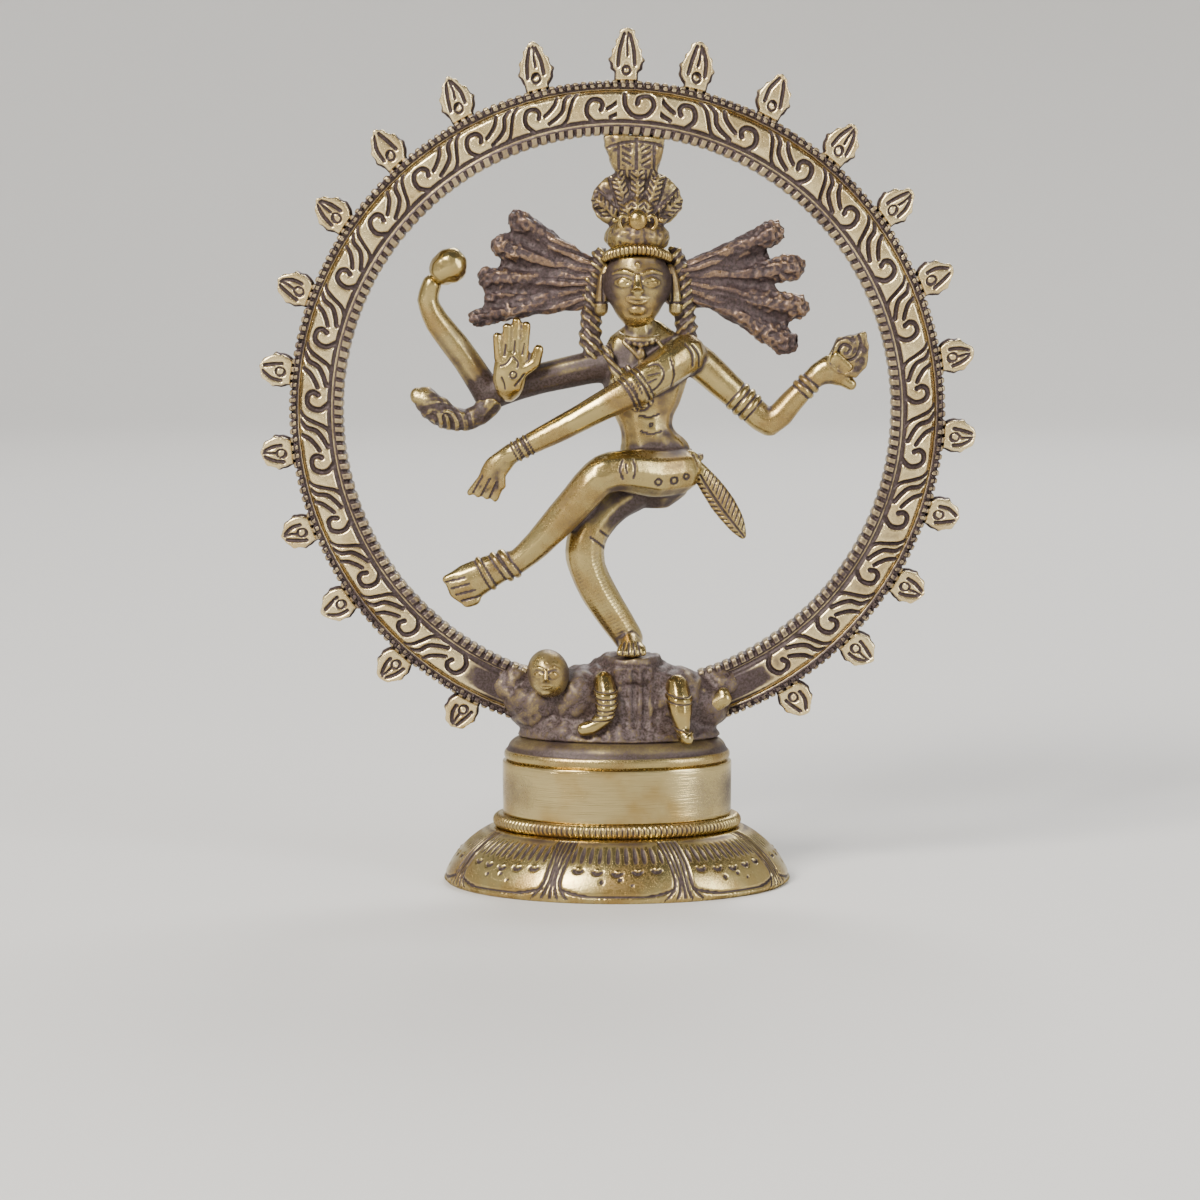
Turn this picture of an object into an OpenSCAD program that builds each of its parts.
// Brass Nataraja statue: a dancer inside a ring of flames, on an oval lotus pedestal.
// Origin at the centre of the pedestal's underside, +Z up, +X to the viewer's right,
// -Y towards the viewer. Left and right are the viewer's.

/* [Pedestal] */
// Half width of the lotus bell at its rim
bell_half_w = 42; // [40:0.5:46]
// Depth of the lotus bell as a share of its width
bell_oval = 0.74; // [0.7:0.01:0.8]
// Height of the lotus bell
bell_h = 13.2; // [12.6:0.2:14.4]
// Half width of the rope moulding
rope_half_w = 30; // [29.5:0.5:32]
// Height of the rope moulding
rope_h = 3.2; // [2.6:0.2:3.6]
// Half width of the plain drum
drum_half_w = 27.6; // [27:0.2:28]
// Height of the plain drum
drum_h = 13; // [12:0.5:14]
// Thickness of the cap plate
cap_h = 5.8; // [5:0.2:6]
// Depth of the rope, drum and cap as a share of their width
drum_oval = 0.66; // [0.62:0.01:0.7]
// Wall of the hollow pedestal
wall = 2.2; // [1.6:0.2:2.6]

/* [Arch] */
// Height of the ring's centre above the table
arch_centre_h = 113.3; // [113:0.1:114]
// Inner radius of the ring
arch_inner_r = 65.2; // [64.8:0.1:65.6]
// Outer radius of the ring, without flames
arch_outer_r = 78.1; // [77.5:0.1:79]
// Thickness of the ring's two ticked rims
rim_t = 5.4; // [4.6:0.2:6]
// Thickness of the ring's sunken band
band_t = 3.8; // [3:0.2:4.2]
// Height of the scrolls above the band
scroll_t = 0.9; // [0.6:0.1:1.2]
// Distance between two ticks of a rim
tick_pitch = 2.3; // [2:0.1:3]
// Flames on each side of the top one
flames_per_side = 11; // [9:1:11]
// Length of the top flame
flame_l = 12.2; // [11:0.1:13]

/* [Figure] */
// How strongly the limbs reach forward and back
forward = 1; // [0.9:0.05:1.1]

/* [Fastening] */
// Diameter of the stud that holds the pedestal together
stud_d = 5; // [4:0.5:5]

/* [Hidden] */

brass = "#b39a58";
polished = "#cdb878";
patina = "#5d4941";
coppery = "#7a5a4c";

// Heights of the pedestal's stages
rope_z = bell_h;
drum_z = rope_z + rope_h;
cap_z = drum_z + drum_h;
mound_z = cap_z + cap_h;
deck_t = 3;
deck_under = bell_h - deck_t;
rim_lip = 0.8;
facing = 1;
cap_half_w = drum_half_w - 1;

// Ring: its two ends are tenons let into the mound
rim_w = 2.5;
tick_depth = 0.35;
arch_end = 163;
band_inner_r = arch_inner_r + rim_w;
band_outer_r = arch_outer_r - rim_w;
band_mid_r = (band_inner_r + band_outer_r) / 2;
flame_t = 3.4;
top_flame_turn = 1.5;
left_flame_pitch = 13.9;
right_flame_pitch = 13.5;
scrolls_per_side = 12;
scroll_pitch = 11.7;

// Stud, washer and nut
stud_clear = 0.3;
stud_hold = 7;
nut_h = 4;
washer_t = 1;
stud_low = deck_under - washer_t - nut_h - 2;

// Block under the standing foot, and the reach of every cut that has to run right through
block_top = 55.2;
through = 20;

// Head: the headband is a flat-bottomed ring on the skull, with the crown on top of it
head_at = [4.7, -0.8];
headband_z = 150.2;
headband_h = 2.8;
headband_r = 8.5;
crown_z = headband_z + headband_h;
drum_at = [-40.6, -0.6, 147.6];

// Stations of the figure: each is [x, y, z, radius] or [x, y, z, half width, half depth]
torso_path = [
    [9.6, 0, 97, 7, 6], [9.2, 0, 100, 9.6, 6.4], [8.2, 0, 103.6, 7.6, 5.6], [7.2, 0, 108, 6.2, 5],
    [6.5, 0, 113, 6.9, 5], [6.4, 0, 118.5, 9.2, 5.6], [6.6, 0, 123.5, 11, 5.8], [6.6, 0, 126.2, 9, 4.8],
    [5.8, -0.4, 130, 3.9, 3.8], [5.1, -0.8, 136, 3.3, 3.3]
];
head_path = [
    [4.7, -3.2, 136, 2.9, 2.8], [4.7, -2.6, 138, 5, 5.2], [4.7, -1.8, 141.5, 6.7, 6.8],
    [4.7, -1.2, 145, 7.3, 7.4], [4.7, -0.8, 148, 6.7, 7]
];
left_upper_arm_path = [
    [-1, 0, 124.4, 4.2, 4], [-7, 0.4, 123.6, 3.8, 3.6], [-15, 0.8, 121.8, 3.6, 3.4],
    [-23, 1.2, 119.8, 3.5, 3.4], [-30.5, 1.6, 117.4, 3.8, 3.5]
];
left_forearm_path = [
    [-30.5, 1.8, 117, 3.7], [-34, 1.8, 122.5, 3.3], [-38.6, 1.4, 129, 3.2], [-43, 0.9, 134.8, 2.9],
    [-45, 0.4, 139.6, 2.5], [-44, 0, 143.4, 2.4]
];
cobra_path = [
    [-30.2, 1, 115.6, 3], [-32.4, 0.4, 112.8, 2.6], [-36.4, -0.2, 111.2, 2.5], [-40.4, -0.6, 112, 2.9],
    [-43.6, -0.9, 114.2, 3.4], [-45.6, -1.2, 116.4, 2.8]
];
blessing_palm_path = [[-25.8, -1.8, 118.4, 2.6, 2.3], [-25.6, -4, 121, 3.8, 2], [-25, -4.6, 125, 4, 1.7]];
right_arm_path = [
    [15, 0.6, 127.6, 4.4, 4.2], [19.5, 0.8, 125, 4.2, 4], [25.5, 0.8, 119.6, 3.7], [31.5, 0.6, 114.4, 3.4],
    [36.4, 0.2, 110.6, 3.2], [41, -0.2, 115, 2.9], [45.6, -0.6, 120, 2.5], [48, -0.8, 122.2, 2.6]
];
flame_palm_path = [[47.6, -0.8, 122, 2.6], [50.6, -1, 123.4, 3.4, 2.6], [53, -1.2, 122.6, 3.2, 2.4]];
crossing_arm_path = [
    [16.4, -2.4, 127, 4.8], [12, -5.6, 124.4, 4.8], [5.4, -8.4, 120, 4.1], [-3.4, -9.6, 115.2, 3.4],
    [-13, -9.4, 110, 3], [-22, -8.4, 105.4, 2.5], [-25.6, -7.8, 103.4, 2.4]
];
drooping_palm_path = [[-25.8, -7.8, 103.2, 2.4, 2], [-28.4, -7.6, 100.6, 3, 1.8], [-30.2, -7.4, 98, 2.8, 1.5]];
raised_leg_path = [
    [14.5, -2.6, 99.2, 5.4], [9, -5.6, 98.9, 5.6], [2.4, -8.6, 99.8, 5], [-3.8, -10, 98.8, 4.5],
    [-9, -9.6, 93.2, 4.2], [-15.4, -8.6, 86, 3.7], [-21.4, -7.6, 79.8, 3.1], [-26, -7, 76.4, 2.8]
];
raised_foot_path = [[-26.8, -7, 77.2, 3.4, 2.9], [-31.4, -7.4, 75, 4.1, 2.8], [-36, -7.8, 72.6, 4.7, 2.3]];
standing_leg_path = [
    [10, -0.2, 97, 4.6], [5, -0.4, 95, 4.9], [-1, -2, 91.6, 4.8], [-6, -3.8, 86.4, 4.8], [-7.8, -4.6, 80.4, 4.7],
    [-6.6, -4.4, 75, 4.5], [-3.6, -3.8, 69, 4.2], [0.2, -3, 63, 3.8], [2.8, -2.4, 59, 3.5]
];
sash_path = [
    [18, -1.2, 100.8, 1.8, 1.4], [21.6, -1.6, 96.6, 2.5, 1.3], [25.2, -2, 91.4, 2.9, 1.2],
    [28.2, -2.2, 86.8, 2.2, 1], [30, -2.4, 83.8, 0.8, 0.6]
];
cord_path = [
    [-2.6, -4, 128.4, 1], [-1.6, -5.8, 125.4, 1], [0.6, -6.6, 122, 1], [3.2, -6.4, 118.6, 1],
    [5.8, -5.8, 115, 0.9]
];

// Left hair fan: each strand runs from the head to a rounded end
left_strands = [
    [[-3, 1.6, 145.6, 2.2], [-9.6, 1.8, 149.4, 2.1], [-16.6, 2, 154.2, 2.3], [-23.4, 2.2, 158.6, 2.5]],
    [[-3, 2, 144.6, 2.2], [-11, 2.4, 147, 2.3], [-19.6, 2.6, 149.6, 2.6], [-27, 2.6, 152.4, 2.9]],
    [[-3, 1.6, 143.2, 2], [-12, 1.8, 144, 1.9], [-21.6, 2, 144.6, 2], [-31, 2, 145, 2.3]],
    [[-3, 2, 141.8, 1.9], [-12, 2.2, 141, 1.7], [-21.6, 2.4, 140.4, 1.8], [-29.6, 2.4, 140.4, 2]],
    [[-3, 1.6, 140.8, 1.9], [-12, 1.8, 138.8, 1.6], [-22.6, 2, 137.6, 1.8], [-33.2, 2, 135.4, 2.1]]
];
right_strands = [
    [[13, 1.6, 145.2, 2.2], [21, 1.8, 148.6, 2.2], [29, 2, 152, 2.4], [37, 2.2, 155.6, 2.9]],
    [[13, 2, 144, 2.2], [22.6, 2.4, 146, 2.3], [32, 2.6, 146, 2.5], [42, 2.6, 147.6, 2.8]],
    [[13, 1.6, 142.4, 2.1], [22.6, 1.8, 142.4, 2.1], [33.6, 2, 139.8, 2.5], [43, 2, 138, 2.8]],
    [[13, 2, 140.8, 2], [22, 2.2, 139.4, 2], [31.6, 2.4, 134.8, 2.6], [40, 2.4, 129.8, 3.1]]
];

// Smooth path through a list of stations, a Catmull-Rom spline
function spline(a, b, c, d, t) =
    0.5 * (2 * b + (c - a) * t + (2 * a - 5 * b + 4 * c - d) * t * t
    + (3 * b - a - 3 * c + d) * t * t * t);
function full(s) = [s[0], s[1] * forward, s[2], s[3], is_undef(s[4]) ? s[3] : s[4]];
function smooth_path(p, steps) = let (n = len(p)) [
    for (i = [0 : n - 2]) for (j = [0 : steps - 1])
        spline(full(p[max(i - 1, 0)]), full(p[i]), full(p[i + 1]), full(p[min(i + 2, n - 1)]), j / steps),
    full(p[n - 1])
];

// One station of a limb: a ball, flattened front to back
module bead(s, sides) {
    translate([s[0], s[1], s[2]]) scale([1, s[4] / s[3], 1]) sphere(r = s[3], $fn = sides);
}

// A limb runs smoothly through its stations
module limb(stations, steps = 2, sides = 10) {
    path = smooth_path(stations, steps);
    for (i = [0 : len(path) - 2]) hull() {
        bead(path[i], sides);
        bead(path[i + 1], sides);
    }
}

// A finger or toe between two points
module digit(from, to, r0, r1) {
    hull() {
        bead(full(concat(from, r0)), 8);
        bead(full(concat(to, r1)), 8);
    }
}

// A ring worn on a limb, its axis along the limb
module worn_ring(at, along, r, wire) {
    flat = norm([along[0], along[1]]);
    translate([at[0], at[1] * forward, at[2]]) rotate([0, atan2(flat, along[2]), atan2(along[1], along[0])])
        rotate_extrude($fn = 40) translate([r, 0]) circle(r = wire, $fn = 20);
}

// Stand something drawn in the XY plane up in the ring's plane, its +Z towards the viewer
module on_arch() {
    translate([0, 0, arch_centre_h]) rotate([90, 0, 0]) children();
}

module arc_bar(r0, r1, t) {
    rotate(90 - arch_end) rotate_extrude(angle = 2 * arch_end, $fn = 180)
        translate([r0, -t / 2]) square([r1 - r0, t]);
}

// Ring-shaped strip, toothed on one side: count teeth between the two ends
function arc_points(r, count, depth, sign) = [
    for (k = [0 : 2 * count]) let (a = sign * (arch_end - k * arch_end / count), q = r + depth * (k % 2))
        [q * sin(a), q * cos(a)]
];
function tick_count(r) = round(2 * arch_end * PI / 180 * r / tick_pitch);

// ---------- pedestal ----------

function bell_w(u) = rope_half_w + (bell_half_w - rope_half_w) * pow(1 - pow(u, 1.6), 0.75);
function bell_side(inset, z0, z1, steps) = [
    for (i = [0 : steps]) let (z = z0 + (z1 - z0) * i / steps) [bell_w(z / bell_h) - inset, z]
];

module stud_hole(z0, z1, r = stud_d / 2 + stud_clear) {
    translate([0, 0, z0 - 1]) cylinder(r = r, h = z1 - z0 + 2, $fn = 48);
}

// The bell is one wall, bent over at the top into the deck that carries the rope plate.
// Its rim is cast a little too long and faced off flat, so that it stands without rocking.
module lotus_bell() {
    color(brass) difference() {
        scale([1, bell_oval, 1]) rotate_extrude($fn = 120) polygon(concat(
            [[bell_half_w - rim_lip - wall, -facing], [bell_half_w - rim_lip, -facing], [bell_half_w - rim_lip, 0]],
            bell_side(0, rim_lip, bell_h, 8),
            [[0, bell_h], [0, deck_under]],
            bell_side(wall, deck_under, rim_lip, 4)));
        stud_hole(deck_under, bell_h);
        translate([0, 0, -facing]) cube([3 * bell_half_w, 3 * bell_half_w, 2 * facing], center = true);
    }
}

module rope_moulding() {
    bead_r = rope_h / 2;
    color(brass) difference() {
        scale([1, drum_oval, 1]) rotate_extrude($fn = 120) {
            translate([rope_half_w - bead_r, rope_z + bead_r]) circle(r = bead_r, $fn = 32);
            translate([0, rope_z]) square([rope_half_w - bead_r, rope_h]);
        }
        stud_hole(rope_z, drum_z);
    }
}

module drum_band() {
    color(polished) scale([1, drum_oval, 1]) difference() {
        translate([0, 0, drum_z]) cylinder(r = drum_half_w, h = drum_h, $fn = 120);
        translate([0, 0, drum_z - 1]) cylinder(r = drum_half_w - wall, h = drum_h + 2, $fn = 120);
    }
}

module cap_plate() {
    nose = cap_h / 2;
    color(brass) difference() {
        scale([1, drum_oval, 1]) rotate_extrude($fn = 120) {
            translate([cap_half_w - nose, cap_z + nose]) circle(r = nose, $fn = 32);
            translate([0, cap_z]) square([cap_half_w - nose, cap_h]);
        }
        stud_hole(cap_z, mound_z);
    }
}

module clamp_stud() {
    color("silver") translate([0, 0, stud_low])
        cylinder(d = stud_d, h = mound_z + stud_hold - stud_low, $fn = 48);
}

module clamp_washer() {
    color("silver") difference() {
        translate([0, 0, deck_under - washer_t]) cylinder(r = stud_d * 1.1, h = washer_t, $fn = 48);
        stud_hole(deck_under - washer_t, deck_under);
    }
}

module clamp_nut() {
    color("silver") difference() {
        translate([0, 0, deck_under - washer_t - nut_h]) cylinder(r = stud_d * 0.9, h = nut_h, $fn = 6);
        stud_hole(deck_under - washer_t - nut_h, deck_under - washer_t, stud_d / 2);
    }
}

// ---------- dwarf and mound ----------

module mound_slab(z, half_w, half_d, at = [0.5, 0]) {
    translate([at[0], at[1], z]) scale([1, half_d / half_w, 1]) cylinder(r = half_w, h = 0.5, $fn = 32);
}

module mound_shape() {
    hull() {
        mound_slab(mound_z, 24.4, 13.6);
        mound_slab(mound_z + 5, 21.5, 10.6);
    }
    hull() {
        mound_slab(mound_z + 4, 20, 11);
        mound_slab(block_top - 5, 10, 8.4, [3, -1]);
    }
    hull() {
        mound_slab(block_top - 6, 9, 8.6, [3.2, -2]);
        mound_slab(block_top - 0.5, 6.6, 7.6, [3.4, -3]);
    }
    // Shoulders that take the ring's two ends
    for (side = [-1, 1]) hull() {
        translate([side * 17, 0, mound_z + 4]) sphere(r = 4, $fn = 24);
        translate([side * 23.4, 0, mound_z + 9.4]) sphere(r = 4.8, $fn = 24);
    }
}

module dwarf_mound() {
    color(patina) difference() {
        mound_shape();
        on_arch() arc_bar(arch_inner_r, arch_outer_r, rim_t);
        translate([0, 0, mound_z - through / 2]) cube([80, 60, through], center = true);
        translate([0, 0, mound_z - 1]) cylinder(d = stud_d, h = stud_hold + 1, $fn = 48);
    }
}

module dwarf_head() {
    color(brass) difference() {
        union() {
            translate([-16.4, -8.6, 51.4]) rotate([0, -14, 0]) scale([0.92, 1, 1.08]) sphere(r = 5.3, $fn = 32);
            translate([-17.2, -13.2, 51]) sphere(r = 1.1, $fn = 20);
        }
        mound_shape();
        on_arch() arc_bar(arch_inner_r, arch_outer_r, rim_t);
    }
}

module dwarf_arm() {
    color(brass) difference() {
        union() {
            limb([[-3.2, -9.4, 49.6, 2.4], [-2.6, -11.4, 46.4, 2.6], [-2.6, -12.4, 43, 2.2], [-3.8, -12.6, 40.6, 1.8]]);
            limb([[-3.8, -12.6, 40.6, 1.7], [-5.8, -12.8, 39.2, 1.7], [-8, -12.8, 38.6, 1.5]]);
        }
        mound_shape();
        translate([0, 0, mound_z - through / 2]) cube([80, 60, through], center = true);
    }
}

module dwarf_leg() {
    color(brass) difference() {
        union() {
            limb([[14.2, -8.8, 48.4, 2.7], [14.8, -10.8, 44.6, 3], [15.2, -11.8, 40.8, 2.2], [15.6, -12.2, 38.2, 1.5]]);
            limb([[15.6, -12, 37.8, 1.7], [16.2, -13.4, 36.9, 1.8], [16.6, -14.6, 36.6, 1.4]]);
        }
        mound_shape();
        translate([0, 0, mound_z - through / 2]) cube([80, 60, through], center = true);
    }
}

module dwarf_rear_foot() {
    color(brass) difference() {
        hull() {
            translate([22.6, -5, 43]) sphere(r = 1.9, $fn = 20);
            translate([25.6, -6, 45]) sphere(r = 1.7, $fn = 20);
        }
        mound_shape();
        on_arch() arc_bar(arch_inner_r, arch_outer_r, rim_t);
    }
}

// ---------- ring of flames ----------

module arch_band() {
    color(patina) on_arch() arc_bar(band_inner_r, band_outer_r, band_t);
}

module arch_outer_rim() {
    count = tick_count(arch_outer_r);
    color(brass) on_arch() difference() {
        translate([0, 0, -rim_t / 2]) linear_extrude(rim_t) polygon(concat(
            arc_points(arch_outer_r, count, -tick_depth, -1),
            arc_points(band_outer_r - 1, 24, 0, 1)));
        cylinder(r = band_outer_r, h = rim_t + 2, center = true, $fn = 180);
    }
}

module arch_inner_rim() {
    count = tick_count(arch_inner_r);
    color(brass) on_arch() intersection() {
        translate([0, 0, -rim_t / 2]) linear_extrude(rim_t) polygon(concat(
            arc_points(arch_inner_r, count, tick_depth, -1),
            arc_points(band_inner_r + 1.5, 48, 0, 1)));
        cylinder(r = band_inner_r, h = rim_t, center = true, $fn = 180);
    }
}

// One scroll: a hooked crescent, the ball it curls round, and a pointed leaf
module scroll_outline() {
    difference() {
        circle(r = 3, $fn = 48);
        translate([0.9, -0.7]) circle(r = 2.4, $fn = 48);
    }
    translate([1, -0.6]) circle(r = 0.9, $fn = 32);
    translate([6.4, 0.2]) rotate(24) intersection() {
        translate([0, 3.2]) circle(r = 4.6, $fn = 48);
        translate([0, -3.2]) circle(r = 4.6, $fn = 48);
    }
}

module arch_scrolls() {
    color(polished) on_arch() translate([0, 0, band_t / 2]) linear_extrude(scroll_t) {
        for (side = [0, 1]) mirror([side, 0]) for (i = [0 : scrolls_per_side - 1])
            rotate(-(i + 1) * scroll_pitch) translate([0, band_mid_r]) rotate(180) scroll_outline();
        translate([0, band_mid_r]) difference() {
            circle(r = 3.4, $fn = 48);
            translate([0, -0.7]) circle(r = 2.6, $fn = 48);
        }
    }
}

// One flame: a leaf that leans towards the top of the ring, with a punched eye near its root
function flame_share(i) = i == 0 ? 1 : max(0.55, 0.86 - 0.05 * i);

// A leaf with a rounded tip, blunt on the tallest flames, and a punched eye near its root
module flame(l, lean) {
    tip = l > 9.8 ? 1.7 : 0.7;
    root = 2.4;
    difference() {
        linear_extrude(flame_t, center = true) {
            translate([lean * 0.6, l * 0.42]) rotate(-lean * 9) {
                hull() {
                    circle(r = 3.6, $fn = 40);
                    translate([0, l * 0.58 - tip]) circle(r = tip, $fn = 24);
                }
            }
            translate([-root, -2]) square([2 * root, 4]);
        }
        translate([0, l * 0.3, flame_t / 2 - 0.5]) cylinder(r = 0.8, h = 1, $fn = 24);
    }
}

module arch_flames() {
    color(brass) on_arch() difference() {
        for (i = [-flames_per_side : flames_per_side]) {
            turn = i < 0 ? i * left_flame_pitch : i > 0 ? i * right_flame_pitch : top_flame_turn;
            rotate(-turn) translate([0, arch_outer_r]) flame(flame_l * flame_share(abs(i)), -sign(i));
        }
        cylinder(r = arch_outer_r, h = rim_t + 2, center = true, $fn = 180);
    }
}

// ---------- figure ----------

module torso_shape() {
    limb(torso_path);
}

module head_shape() {
    difference() {
        limb(head_path, 2, 14);
        translate([0, 0, headband_z + through / 2]) cube([60, 60, through], center = true);
    }
}

module torso() {
    color(brass) torso_shape();
}

module head() {
    color(brass) difference() {
        union() {
            head_shape();
            digit([4.7, -7.8, 145], [4.7, -9, 141.8], 0.8, 1.3);
        }
        torso_shape();
    }
}

module headband() {
    nose = headband_h / 2;
    color(polished) translate([head_at[0], head_at[1], headband_z]) scale([1, 0.96, 1]) rotate_extrude($fn = 60) {
        translate([headband_r - nose, nose]) circle(r = nose, $fn = 24);
        square([headband_r - nose, headband_h]);
    }
}

module crown_cap_shape() {
    difference() {
        translate([head_at[0], head_at[1] + 0.6, crown_z]) scale([1, 0.86, 0.84]) sphere(r = 7, $fn = 48);
        translate([0, 0, crown_z - through / 2]) cube([60, 60, through], center = true);
    }
}

module crown_cap() {
    color(patina) crown_cap_shape();
}

// Five plumes spread like a fan
module plume(k) {
    digit([4.8 + 0.9 * k, 0.2, 156], [4.8 + 4.3 * k, 0.2, 168.4 - 1.5 * k * k], 1.6, 2.3);
}

module crown_fan() {
    color(patina) difference() {
        for (k = [-2 : 2]) {
            plume(k);
            digit([4.8 + 2.4 * k, -0.6, 161], [4.8 + 4.3 * k, 0.2, 168.4 - 1.5 * k * k], 1.2, 1.7);
        }
        // Curls at the foot of the fan
        digit([1, -0.2, 157.4], [-4, -0.4, 160.8], 1.4, 1.8);
        digit([1, 0, 155.4], [-1.8, -0.4, 157.4], 1.2, 1.6);
        digit([9, -0.2, 158.4], [13.8, -0.4, 162.4], 1.4, 2);
        crown_cap_shape();
    }
}

module crown_bracket() {
    color(patina) difference() {
        hull() {
            translate([4.4, 0, 169.6]) scale([1, 0.5, 0.4]) sphere(r = 4.8, $fn = 20);
            translate([4, 0, 178]) cube([14, 4.6, 3], center = true);
        }
        on_arch() arc_bar(arch_inner_r, arch_outer_r, rim_t);
        for (k = [-1 : 1]) plume(k);
    }
}

module crown_skull() {
    color(polished) {
        translate([4.8, -6, 158.2]) scale([1, 0.9, 1.15]) sphere(r = 1.7, $fn = 32);
        for (side = [-1, 1]) translate([4.8 + side * 3.2, -5.2, 158]) rotate([90, 0, 0])
            rotate_extrude($fn = 32) translate([1, 0]) circle(r = 0.5, $fn = 16);
    }
}

module ear_drops() {
    color(brass) difference() {
        for (side = [-1, 1])
            limb([
                [5 + side * 7.4, -1, 147, 1.2], [5 + side * 8.2, -1.4, 144, 1.4],
                [5 + side * 8.6, -1.6, 140.6, 1.4], [5 + side * 8.8, -1.6, 137.6, 1.6]], 2, 8);
        head_shape();
    }
}

module side_locks() {
    color(patina) difference() {
        for (side = [-1, 1])
            limb([
                [5 + side * 8.4, 1.4, 150, 1.6], [5 + side * 10.4, 1.6, 143.6, 1.9],
                [5 + side * 11, 1.2, 137, 1.7], [5 + side * 11.4, 0.8, 131.4, 1.8],
                [5 + side * 10.6, -0.6, 127, 1.8]], 2, 8);
        head_shape();
        torso_shape();
        translate([head_at[0], head_at[1], headband_z]) cylinder(r = headband_r, h = headband_h, $fn = 32);
    }
}

module hair_strands(strands) {
    for (s = strands) limb(s, 2, 8);
}

module hair_fan_left() {
    color(coppery) difference() {
        hair_strands(left_strands);
        head_shape();
    }
}

module hair_fan_right() {
    color(coppery) difference() {
        hair_strands(right_strands);
        head_shape();
    }
}

module necklace() {
    color(polished) {
        translate([5.5, -0.8, 131.6]) rotate([14, 0, 0]) rotate_extrude($fn = 48) translate([4.9, 0]) circle(r = 0.8, $fn = 20);
        for (k = [-3 : 3]) translate([5.5 + k * 1.3, -6 + abs(k) * 0.4, 129.2 + abs(k) * 0.35]) sphere(r = 0.65, $fn = 20);
        translate([5.5, -6.2, 127]) scale([0.9, 0.7, 1.3]) sphere(r = 1.2, $fn = 24);
    }
}

module sacred_cord() {
    color(patina) difference() {
        limb(cord_path, 2, 8);
        torso_shape();
    }
}

module belt_knots() {
    translate([17.4, -2.4, 102]) sphere(r = 1.9, $fn = 14);
    translate([18.4, -2, 99.6]) sphere(r = 1.5, $fn = 14);
}

module waist_belt() {
    color(patina) difference() {
        union() {
            translate([8.8, 0, 102.4]) rotate([0, -6, 0]) scale([1, 0.74, 1])
                rotate_extrude($fn = 32) translate([8.2, 0]) circle(r = 1.1, $fn = 8);
            belt_knots();
        }
        torso_shape();
        limb(raised_leg_path);
    }
}

module sash_tail() {
    color(brass) difference() {
        limb(sash_path, 2, 8);
        torso_shape();
        belt_knots();
    }
}

// ---------- arms ----------

module left_arms_shape() {
    limb(left_upper_arm_path);
    limb(left_forearm_path);
}

module hand_drum_shape() {
    translate(drum_at) rotate([0, 24, 0]) scale([0.9, 0.95, 1.1]) sphere(r = 4.1, $fn = 32);
}

module left_arms() {
    color(patina) difference() {
        left_arms_shape();
        torso_shape();
        hand_drum_shape();
    }
}

module hand_drum() {
    color(polished) hand_drum_shape();
}

module blessing_hand_shape() {
    limb(blessing_palm_path);
    for (k = [0 : 3]) digit(
        [-28 + k * 1.9, -4.8, 126.4], [-28.4 + k * 2.3, -5, 131.2 + [0, 2.2, 3.6, 2.6][k]], 1.1, 0.95);
    digit([-22.4, -4.6, 123.2], [-19.6, -4.8, 125], 1.5, 1.3);
    digit([-19.6, -4.8, 125], [-18.6, -5, 128.2], 1.3, 1.1);
}

module blessing_hand() {
    color(polished) difference() {
        blessing_hand_shape();
        left_arms_shape();
    }
}

module cobra() {
    color(patina) difference() {
        union() {
            limb(cobra_path);
            translate([-47.4, -1.4, 117]) sphere(r = 1.8, $fn = 24);
        }
        left_arms_shape();
        blessing_hand_shape();
    }
}

module right_arm() {
    color(brass) difference() {
        limb(right_arm_path);
        torso_shape();
    }
}

module right_arm_rings() {
    color(polished) {
        for (k = [0 : 2]) worn_ring([28.6 + 1.7 * k, 0.7, 117 - 1.5 * k], [1, 0, -0.87], 3.8, 0.75);
        for (k = [0 : 1]) worn_ring([44.2 + 1.3 * k, -0.5, 118.5 + 1.4 * k], [0.66, 0, 0.75], 2.9, 0.7);
    }
}

module flame_hand_shape() {
    limb(flame_palm_path);
    digit([52.6, -1.4, 121.6], [55.6, -2, 119.8], 1.7, 1.4);
    for (k = [0 : 3]) digit([50.4 + k, -2.4, 124.6 - k * 0.7], [52 + k, -3.6, 126.8 - k * 0.9], 1.2, 1);
}

module flame_hand() {
    color(brass) difference() {
        flame_hand_shape();
        limb(right_arm_path);
    }
}

module hand_flame() {
    color(polished) difference() {
        translate([55, -1.6, 127]) rotate([90, 22, 0]) linear_extrude(4.6, center = true)
            polygon([[-4.4, -4], [-1, -5.2], [3.6, -4.6], [4.8, -1], [3.8, 3], [1.6, 6.4], [-0.6, 4.6], [-3.8, 2.6]]);
        flame_hand_shape();
        limb(right_arm_path);
    }
}

module crossing_arm_shape() {
    limb(crossing_arm_path);
}

module crossing_arm() {
    color(brass) difference() {
        crossing_arm_shape();
        torso_shape();
        limb(right_arm_path);
    }
}

module crossing_armlet() {
    color(polished) {
        for (k = [0 : 2]) worn_ring([3.4 + 1.5 * k, -8.4 + 0.3 * k, 118.7 + 0.9 * k], [0.83, 0.2, 0.53], 4.4, 0.75);
        translate([9, -11, 122]) rotate([0, -32, 0]) scale([1.5, 0.6, 1.7]) sphere(r = 2.2, $fn = 32);
    }
}

module wrist_bangles() {
    color(polished)
        for (k = [0 : 1]) worn_ring([-21.6 - 2.4 * k, -8.4 + 0.3 * k, 105.6 - 1.2 * k], [0.87, 0, 0.49], 2.7, 0.6);
}

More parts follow.
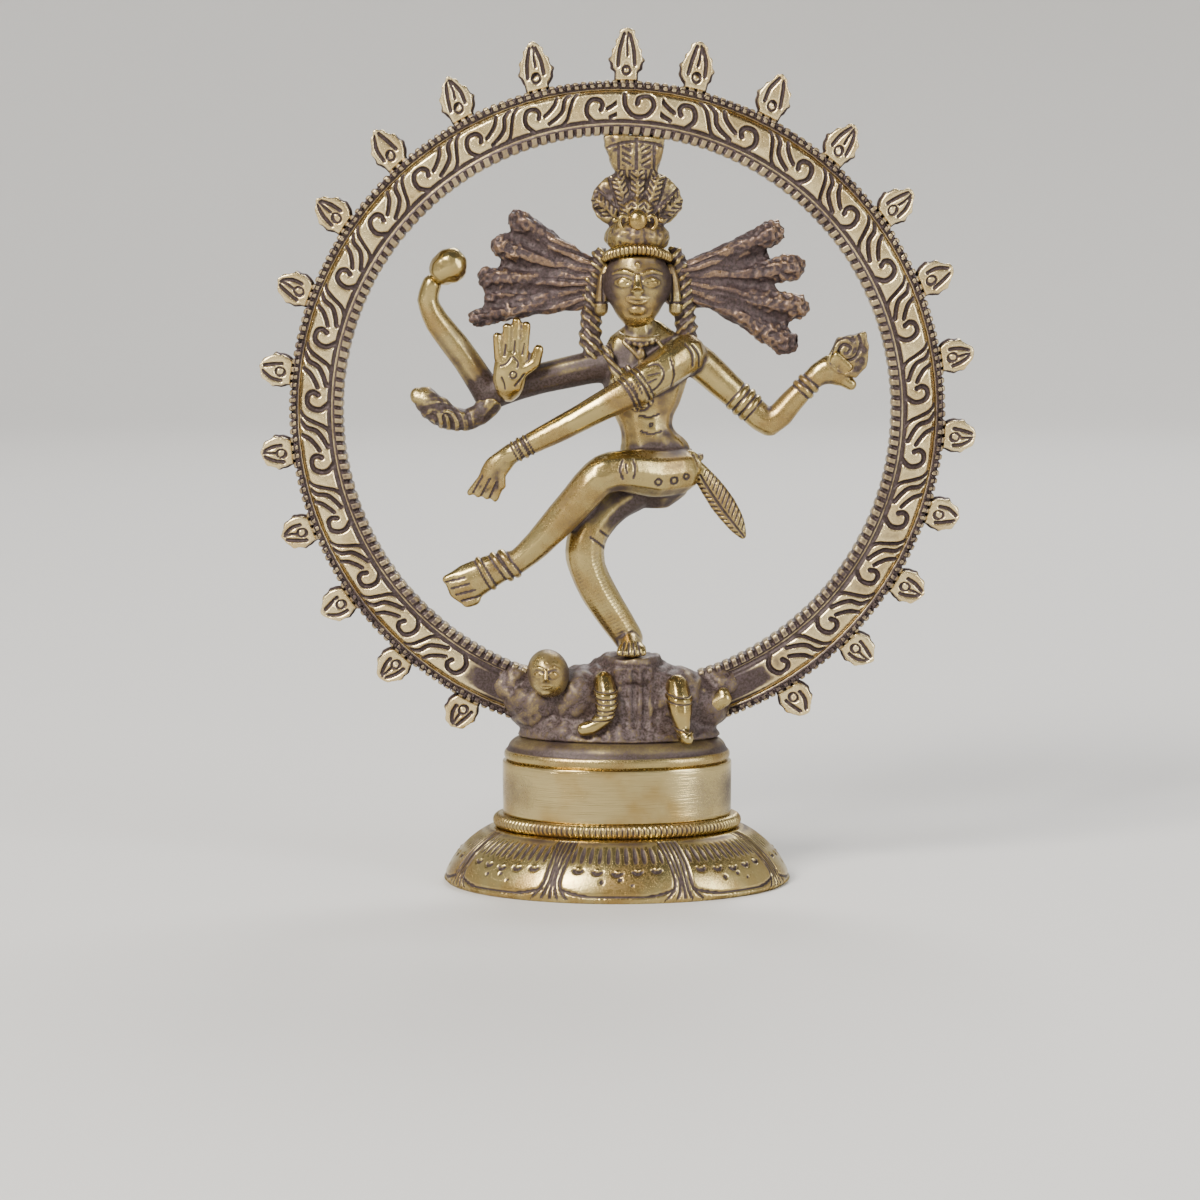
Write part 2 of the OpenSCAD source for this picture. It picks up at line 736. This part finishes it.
module drooping_hand() {
    color(brass) difference() {
        union() {
            limb(drooping_palm_path);
            for (k = [0 : 3]) digit(
                [-32 + 1.4 * k, -7.4, 98 - 0.7 * k], [-35 + 2 * k, -6.8, 94.4 - 0.5 * k], 0.95, 0.75);
            digit([-27.4, -8.2, 99.4], [-27.2, -8.2, 96], 1.1, 0.9);
        }
        crossing_arm_shape();
    }
}

// ---------- legs ----------

module raised_leg_shape() {
    limb(raised_leg_path);
}

module standing_leg_shape() {
    limb(standing_leg_path);
}

module raised_leg() {
    color(brass) difference() {
        raised_leg_shape();
        torso_shape();
    }
}

module raised_anklets() {
    color(polished)
        for (k = [0 : 1]) worn_ring([-25 - 1.7 * k, -7, 77.1 - 1.1 * k], [0.8, 0, 0.6], 3.3, 0.75);
}

module raised_foot() {
    color(brass) difference() {
        union() {
            limb(raised_foot_path);
            for (k = [0 : 4]) digit(
                [-38.4 + 1.2 * k, -8.2, 74.8 - 1.45 * k], [-40.6 + 1.2 * k, -8.4, 73.9 - 1.45 * k], 1.2, 1);
        }
        raised_leg_shape();
    }
}

module standing_leg() {
    color(brass) difference() {
        standing_leg_shape();
        torso_shape();
        raised_leg_shape();
    }
}

module standing_foot() {
    color(brass) difference() {
        union() {
            digit([2.6, -3.4, block_top + 3], [3.2, -7, block_top + 2.4], 2.6, 2.5);
            digit([3.2, -6, block_top + 2.6], [3.5, -8.6, block_top + 1.9], 3, 2.3);
            for (k = [-2 : 2]) digit(
                [3.4 + 1.2 * k, -8.6, block_top + 2.2], [3.4 + 1.4 * k, -10.8 + 0.25 * abs(k + 1), block_top + 1.4], 1, 0.85);
        }
        standing_leg_shape();
        mound_shape();
        translate([0, 0, block_top - through / 2]) cube([40, 60, through], center = true);
    }
}

lotus_bell();
rope_moulding();
drum_band();
cap_plate();
clamp_stud();
clamp_washer();
clamp_nut();
dwarf_mound();
dwarf_head();
dwarf_arm();
dwarf_leg();
dwarf_rear_foot();
arch_band();
arch_outer_rim();
arch_inner_rim();
arch_scrolls();
arch_flames();
torso();
head();
headband();
crown_cap();
crown_fan();
crown_bracket();
crown_skull();
ear_drops();
side_locks();
hair_fan_left();
hair_fan_right();
necklace();
sacred_cord();
waist_belt();
sash_tail();
left_arms();
hand_drum();
blessing_hand();
cobra();
right_arm();
right_arm_rings();
flame_hand();
hand_flame();
crossing_arm();
crossing_armlet();
wrist_bangles();
drooping_hand();
raised_leg();
raised_anklets();
raised_foot();
standing_leg();
standing_foot();
